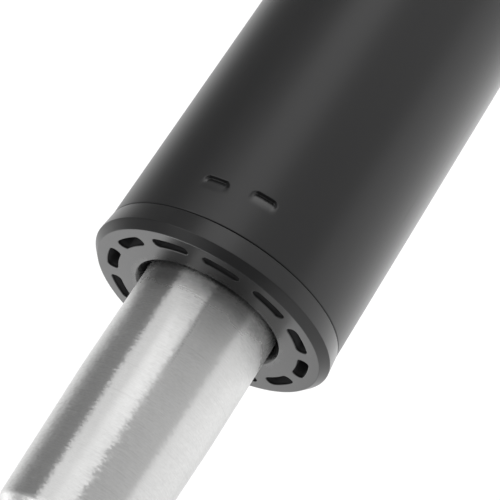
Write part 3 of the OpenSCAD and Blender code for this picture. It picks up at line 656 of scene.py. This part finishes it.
class GASLIFT_OT_guide_bush(bpy.types.Operator):
    """Make the guide bush, with its flange, face pockets and cored sleeve"""

    bl_idname = "gas_lift.guide_bush"
    bl_label = "Guide Bush"

    ARC_STEPS = 16
    CORNER_STEPS = 4

    def pocket_rim(self, bm, size):
        """The outline of one pocket, about the +X direction."""
        face = BUSH_HIGH.z
        corner = size.pocket_corner
        outer = size.pocket_outer
        inner = outer - size.pocket_width
        half = size.pocket_span / 2
        steps = self.CORNER_STEPS
        lower = half - math.asin(corner / (inner + corner))
        upper = half - math.asin(corner / (outer - corner))
        lower_turn = math.pi / 2 + lower - half
        upper_turn = math.pi / 2 - upper + half
        before = set(bm.edges)
        vert = bm.verts.new(at_angle(inner, -lower, face))
        vert = arc(bm, vert, CENTRE, 2 * lower, self.ARC_STEPS)
        vert = arc(bm, vert, at_angle(inner + corner, lower, face), -lower_turn, steps)
        start = bm.verts.new(at_angle(outer, upper, face))
        last = arc(bm, start, at_angle(outer - corner, upper, face), upper_turn, steps)
        bm.edges.new((vert, last))
        vert = arc(bm, start, CENTRE, -2 * upper, self.ARC_STEPS)
        vert = arc(bm, vert, at_angle(outer - corner, -upper, face), -upper_turn, steps)
        start = bm.verts.new(at_angle(inner, -lower, face))
        last = arc(bm, start, at_angle(inner + corner, -lower, face), lower_turn, steps)
        bm.edges.new((vert, last))
        bmesh.ops.remove_doubles(bm, verts=bm.verts, dist=WELD)
        return [edge for edge in bm.edges if edge not in before]

    def share_rim(self, bm, inner, outer, half, height):
        """The outline of a share of a ring, about the +X direction."""
        before = set(bm.edges)
        low = bm.verts.new(at_angle(inner, -half, height))
        high = bm.verts.new(at_angle(outer, -half, height))
        sides = [bm.edges.new((low, high))]
        low = arc(bm, low, CENTRE, 2 * half, self.ARC_STEPS)
        high = arc(bm, high, CENTRE, 2 * half, self.ARC_STEPS)
        sides.append(bm.edges.new((low, high)))
        bmesh.ops.subdivide_edges(bm, edges=sides, cuts=2 * self.CORNER_STEPS)
        return [edge for edge in bm.edges if edge not in before]

    def sink(self, bm, opening, border, depth):
        """The face between an opening and its border, with the opening sunk along the axis."""
        bmesh.ops.bridge_loops(bm, edges=opening + border)
        walls = bmesh.ops.extrude_edge_only(bm, edges=opening)["geom"]
        floor = [item for item in walls if isinstance(item, bmesh.types.BMVert)]
        bmesh.ops.translate(bm, verts=floor, vec=AXIS * depth)
        bmesh.ops.contextual_create(bm, geom=floor)

    def execute(self, context):
        size = context.scene.gas_lift_bush
        column = context.scene.gas_lift_column
        face, seam, foot = BUSH_HIGH.z, TUBE_HIGH.z, BUSH_LOW.z
        bore = SPINDLE_HIGH.x + size.bore_gap
        relief = bore + size.relief
        mouth = bore + size.mouth_width
        rim = BUSH_HIGH.x - size.chamfer_width
        flange_low = TUBE_HIGH.x + size.overhang
        sleeve = TUBE_HIGH.x - column.wall - size.sleeve_gap
        groove = sleeve - column.dent_depth - size.groove_gap
        groove_low = seam - column.dent_drop - column.dent_lag - size.groove_gap
        groove_high = seam - column.dent_drop + column.dent_run + size.groove_gap
        core_inner = relief + size.core_wall
        core_outer = sleeve - size.sleeve_wall
        share_half = math.pi / size.pocket_count
        core_half = share_half - math.asin(size.core_rib / (core_inner + core_outer))
        bm = bmesh.new()
        pocket = self.pocket_rim(bm, size)
        border = self.share_rim(bm, mouth, rim, share_half, face)
        self.sink(bm, pocket, border, -size.pocket_depth)
        soften(bm, pocket, size.pocket_round, 3)
        core = self.share_rim(bm, core_inner, core_outer, core_half, foot)
        border = self.share_rim(bm, bore + size.edge_break, sleeve - size.edge_break, share_half, foot)
        self.sink(bm, core, border, groove_low - size.core_roof - foot)
        copies = size.pocket_count - 1
        bmesh.ops.spin(
            bm, geom=bm.verts[:] + bm.edges[:] + bm.faces[:], cent=CENTRE, axis=AXIS, dvec=CENTRE,
            angle=math.tau * copies / size.pocket_count, steps=copies, use_duplicate=True)
        outside = new_outline(bm, [
            (rim, face),
            (BUSH_HIGH.x, face - size.chamfer_height),
            (flange_low, seam + size.seam),
            (flange_low - size.seam_depth, seam),
            (sleeve, seam),
            (sleeve, groove_high),
            (groove, groove_high),
            (groove, groove_low),
            (sleeve, groove_low),
            (sleeve, foot + 2 * size.edge_break),
            (sleeve - size.edge_break, foot),
        ], closed=False)
        inside = new_outline(bm, [
            (bore + size.edge_break, foot),
            (bore, foot + size.edge_break),
            (bore, foot + size.land),
            (relief, foot + size.land + size.relief),
            (relief, seam - size.land - size.relief),
            (bore, seam - size.land),
            (bore, face - size.mouth_depth),
            (mouth, face),
        ], closed=False)
        spin_full(bm, outside + inside, self.ARC_STEPS * size.pocket_count)
        soften_rings(bm, [
            (rim, face, size.edge_round, 3),
            (BUSH_HIGH.x, face - size.chamfer_height, size.edge_round, 3),
            (flange_low, seam + size.seam, size.seam_round, 2),
            (mouth, face, size.edge_round, 3),
        ])
        bmesh.ops.rotate(bm, verts=bm.verts, cent=CENTRE, matrix=Matrix.Rotation(size.pocket_angle, 3, "Z"))
        plastic = black_plastic(context.scene.gas_lift_finish.plastic, size, mouth)
        finish_piece(bm, "bush", plastic, "column", "guide_bush")
        return {"FINISHED"}


class GASLIFT_OT_spindle(bpy.types.Operator):
    """Make the ground spindle tube, with its seat taper and bevelled end"""

    bl_idname = "gas_lift.spindle"
    bl_label = "Spindle"

    STEPS = 224

    def execute(self, context):
        size = context.scene.gas_lift_spindle
        radius, foot, top = SPINDLE_HIGH.x, SPINDLE_LOW.z, SPINDLE_HIGH.z
        cone = BUSH_HIGH.z + size.shown
        shoulder = top - size.end_bevel
        shoulder_radius = radius - size.taper_slope * size.taper_length
        inside = radius - size.wall
        hole = size.button_radius + size.button_gap
        bm = bmesh.new()
        outline = new_outline(bm, [
            (size.foot_opening, foot),
            (radius, foot),
            (radius, cone),
            (shoulder_radius, shoulder),
            (shoulder_radius - size.end_bevel, top),
            (hole, top),
            (hole, top - size.wall),
            (shoulder_radius - size.wall, top - size.wall),
            (inside, cone),
            (inside, foot + size.wall),
            (size.foot_opening, foot + size.wall),
        ], closed=True)
        spin_full(bm, outline, self.STEPS)
        soften_rings(bm, [
            (radius, foot, size.foot_round, 5),
            (shoulder_radius, shoulder, size.shoulder_round, 4),
            (shoulder_radius - size.end_bevel, top, size.end_round, 4),
            (hole, top, size.hole_round, 3),
        ])
        steel = ground_steel(context.scene.gas_lift_finish.steel)
        finish_piece(bm, "spindle", steel, "spindle", "spindle_tube")
        return {"FINISHED"}


class GASLIFT_OT_button(bpy.types.Operator):
    """Make the release button"""

    bl_idname = "gas_lift.button"
    bl_label = "Release Button"

    STEPS = 128

    def execute(self, context):
        size = context.scene.gas_lift_spindle
        flange, radius = BUTTON_HIGH.x, size.button_radius
        low, top = BUTTON_LOW.z, BUTTON_HIGH.z
        bm = bmesh.new()
        outline = new_outline(bm, [
            (0.0, low),
            (flange, low),
            (flange, low + size.button_flange),
            (radius, low + size.button_flange),
            (radius, top - size.button_edge),
            (radius - size.button_edge, top),
            (0.0, top),
        ], closed=False)
        spin_full(bm, outline, self.STEPS)
        soften_rings(bm, [
            (flange, low, size.flange_round, 3),
            (flange, low + size.button_flange, size.flange_round, 3),
            (radius, top - size.button_edge, size.button_round, 3),
            (radius - size.button_edge, top, size.button_round, 3),
        ])
        zinc = turned_steel("turned_button", context.scene.gas_lift_finish.zinc, 0.2)
        finish_piece(bm, "button", zinc, "release", "release_button")
        return {"FINISHED"}


class GASLIFT_OT_inner_pieces(bpy.types.Operator):
    """Give the pieces at the foot and inside the lift their finishes"""

    bl_idname = "gas_lift.inner_pieces"
    bl_label = "Foot and Inner Pieces"

    def execute(self, context):
        zinc = context.scene.gas_lift_finish.zinc
        finishes = {
            "plated_steel": pressed_zinc("plated_sheet", zinc, 0.28),
            "spring_steel": pressed_zinc("phosphated_spring", (0.16, 0.16, 0.165), 0.35),
            "bearing_steel": turned_steel("polished_bearing", (0.66, 0.66, 0.67), 0.1),
            "cage_nylon": moulded("natural_nylon", (0.72, 0.66, 0.5), 0.4, 2400.0),
            "rod_steel": turned_steel("chromed_rod", (0.72, 0.72, 0.73), 0.08),
            "bumper_rubber": moulded("bumper_rubber", (0.022, 0.022, 0.023), 0.62, 1800.0),
            "seal_rubber": moulded("seal_rubber", (0.015, 0.015, 0.016), 0.5, 3000.0),
            "guide_polymer": moulded("bearing_plastic", (0.09, 0.095, 0.1), 0.45, 2600.0),
            "light_alloy": turned_steel("turned_alloy", (0.72, 0.73, 0.74), 0.26),
            "cylinder_tube": turned_steel("drawn_tube", (0.5, 0.51, 0.52), 0.3),
            "valve_alloy": turned_steel("die_cast_alloy", (0.58, 0.57, 0.54), 0.34),
            "spacer_brass": turned_steel("turned_brass", (0.74, 0.53, 0.24), 0.22),
        }
        for part in frame["record"]["subparts"]:
            if part["material_slot"] in finishes:
                finish_node(part["node"], finishes[part["material_slot"]])
        return {"FINISHED"}


# Stage

def make_camera(stage):
    """The camera, aimed so that the bush's face lies where it does in the picture."""
    back = Vector((0.0, -math.cos(stage.elevation), math.sin(stage.elevation)))
    turn = back.to_track_quat("Z", "Y").to_matrix() @ Matrix.Rotation(stage.roll, 3, "Z")
    right, up = turn.col[0], turn.col[1]
    target = Vector((0.0, 0.0, BUSH_HIGH.z))
    data = bpy.data.cameras.new("camera")
    data.lens = stage.lens
    data.sensor_width = 36.0
    data.clip_start = 10 * MM
    camera = bpy.data.objects.new("camera", data)
    place = target + back * stage.distance - right * stage.aside + up * stage.below
    camera.matrix_world = Matrix.Translation(place) @ turn.to_4x4()
    bpy.context.scene.collection.objects.link(camera)
    bpy.context.scene.camera = camera


def make_world(stage):
    """White surroundings: a rear and a side wall, a softbox, a panel, a flag and a hood.

    Each ray's direction has a length of 1, and bearings are counted from the camera's side.
    """
    world = bpy.data.worlds.new("studio")
    bpy.context.scene.world = world
    graph = Graph(world)
    x, y, z = graph.axes(graph.place("Generated"))
    bearing = x.math("ARCTAN2", -y)
    degrees = bearing * math.degrees(1.0)
    low = graph.fall(z, -0.435, -0.385)
    foot = graph.fall(z, -0.75, -0.55)

    def between(mask, first, second):
        """A first value outside a mask and a second one inside it."""
        return mask * (second - first) + first

    def over(light, mask, brightness):
        """Light with a brightness laid over it inside a mask."""
        return light * (1.0 - mask) + mask * brightness

    def panel(light, start, end, brightness, softness=10.0):
        """Light with a panel laid over it, from one bearing to another, its far edge soft, in degrees."""
        rise = graph.step(degrees - start, -5.0, 5.0)
        fall = graph.fall(degrees - end, -softness / 2, softness / 2)
        return over(light, rise * fall, brightness)

    # Bearings, in degrees, at which each panel ends and the next one starts
    side_start, side_end, grey_end, flag_end = -165.0, -56.0, 11.0, 130.0
    softbox_end = 68.0 - 20.0 * low
    light = between(low, stage.white, stage.glow)
    behind = graph.step(y, 0.2, 0.9) * graph.step(z, 0.0, 0.35)
    rear = graph.step(x, -0.14, 0.08, 0.68 * stage.rear, 1.08 * stage.rear)
    light = over(light, behind, rear)
    aside = low * graph.step(degrees, -150.0, -60.0, 1.0, 0.25)
    light = panel(light, side_start, side_end, between(aside, stage.side_wall, stage.side_glow))
    light = panel(light, side_end, grey_end, between(foot, stage.grey_panel, stage.grey_foot))
    light = panel(light, grey_end, softbox_end, between(foot, stage.softbox, stage.softbox_foot))
    light = panel(light, softbox_end, flag_end, between(foot, stage.flag, stage.flag_foot), softness=44.0)
    light = over(light, graph.step(z, 0.55, 0.85), stage.white)
    above_camera = graph.step(z, 0.08, 0.3) * graph.fall(bearing.math("ABSOLUTE"), 0.35, 1.2)
    light = over(light, above_camera, stage.hood)
    seen = graph.node("ShaderNodeLightPath", output="Is Camera Ray")
    strength = over(light, seen, 1.0)
    shade = graph.node("ShaderNodeBackground", inputs={"Color": (1.0, 1.0, 1.0, 1.0), "Strength": strength})
    graph.node("ShaderNodeOutputWorld", inputs={"Surface": shade})


def make_floor(stage):
    """A pale floor that shows only from above."""
    material, graph = new_finish("pale_floor")
    grain = graph.noise(graph.place(), 40.0, 2.0)
    paint = graph.node("ShaderNodeBsdfDiffuse", inputs={
        "Color": graph.blend(grain, (0.93, 0.93, 0.93, 1.0), (0.95, 0.95, 0.95, 1.0))})
    clear = graph.node("ShaderNodeBsdfTransparent")
    under = graph.node("ShaderNodeNewGeometry", output="Backfacing")
    mix = graph.node("ShaderNodeMixShader", inputs={0: under, 1: paint, 2: clear})
    graph.node("ShaderNodeOutputMaterial", inputs={"Surface": mix})
    bm = bmesh.new()
    bmesh.ops.create_grid(bm, x_segments=1, y_segments=1, size=stage.floor_size / 2)
    mesh = bpy.data.meshes.new("floor")
    bm.to_mesh(mesh)
    bm.free()
    mesh.materials.append(material)
    floor = bpy.data.objects.new("floor", mesh)
    bpy.context.scene.collection.objects.link(floor)
    floor.visible_glossy = False


def make_lamp(stage):
    """A broad, even lamp from behind and above, which gives the floor its shadow."""
    data = bpy.data.lights.new("broad_lamp", "SUN")
    data.energy = stage.lamp_strength
    data.angle = stage.lamp_angle
    lamp = bpy.data.objects.new("broad_lamp", data)
    place = Vector((0.3, 0.6, 1.2))
    lamp.matrix_world = Matrix.Translation(place) @ place.to_track_quat("Z", "Y").to_matrix().to_4x4()
    bpy.context.scene.collection.objects.link(lamp)


class GASLIFT_OT_stage(bpy.types.Operator):
    """Make the camera, the white surroundings, the floor and the lamp"""

    bl_idname = "gas_lift.stage"
    bl_label = "Stage"

    def execute(self, context):
        stage = context.scene.gas_lift_stage
        context.scene.view_settings.view_transform = "Standard"
        make_camera(stage)
        make_world(stage)
        make_floor(stage)
        make_lamp(stage)
        return {"FINISHED"}


SETTINGS = {
    "gas_lift_column": ColumnTubeSettings,
    "gas_lift_bush": GuideBushSettings,
    "gas_lift_spindle": SpindleSettings,
    "gas_lift_finish": FinishSettings,
    "gas_lift_stage": StageSettings,
}
OPERATORS = [
    GASLIFT_OT_stage,
    GASLIFT_OT_column_tube,
    GASLIFT_OT_guide_bush,
    GASLIFT_OT_spindle,
    GASLIFT_OT_button,
    GASLIFT_OT_inner_pieces,
]


class GASLIFT_PT_sidebar(bpy.types.Panel):
    """Sidebar panel with each step and its settings"""

    bl_idname = "GASLIFT_PT_sidebar"
    bl_label = "Gas Lift"
    bl_space_type = "VIEW_3D"
    bl_region_type = "UI"
    bl_category = "Gas Lift"

    def draw(self, context):
        for operator in OPERATORS:
            self.layout.operator(operator.bl_idname)
        for group, kind in SETTINGS.items():
            box = self.layout.box()
            box.label(text=kind.__doc__)
            for name in kind.__annotations__:
                box.prop(getattr(context.scene, group), name)


def register():
    """Registers the settings, operators and panel."""
    for kind in [*SETTINGS.values(), *OPERATORS, GASLIFT_PT_sidebar]:
        bpy.utils.register_class(kind)
    for group, kind in SETTINGS.items():
        setattr(bpy.types.Scene, group, PointerProperty(type=kind))


def unregister():
    """Takes the panel, operators and settings out again."""
    for group in SETTINGS:
        delattr(bpy.types.Scene, group)
    for kind in reversed([*SETTINGS.values(), *OPERATORS, GASLIFT_PT_sidebar]):
        bpy.utils.unregister_class(kind)


def main():
    register()
    bpy.ops.gas_lift.stage()
    bpy.ops.gas_lift.column_tube()
    bpy.ops.gas_lift.guide_bush()
    bpy.ops.gas_lift.spindle()
    bpy.ops.gas_lift.button()
    bpy.ops.gas_lift.inner_pieces()


if __name__ == "__main__":
    main()
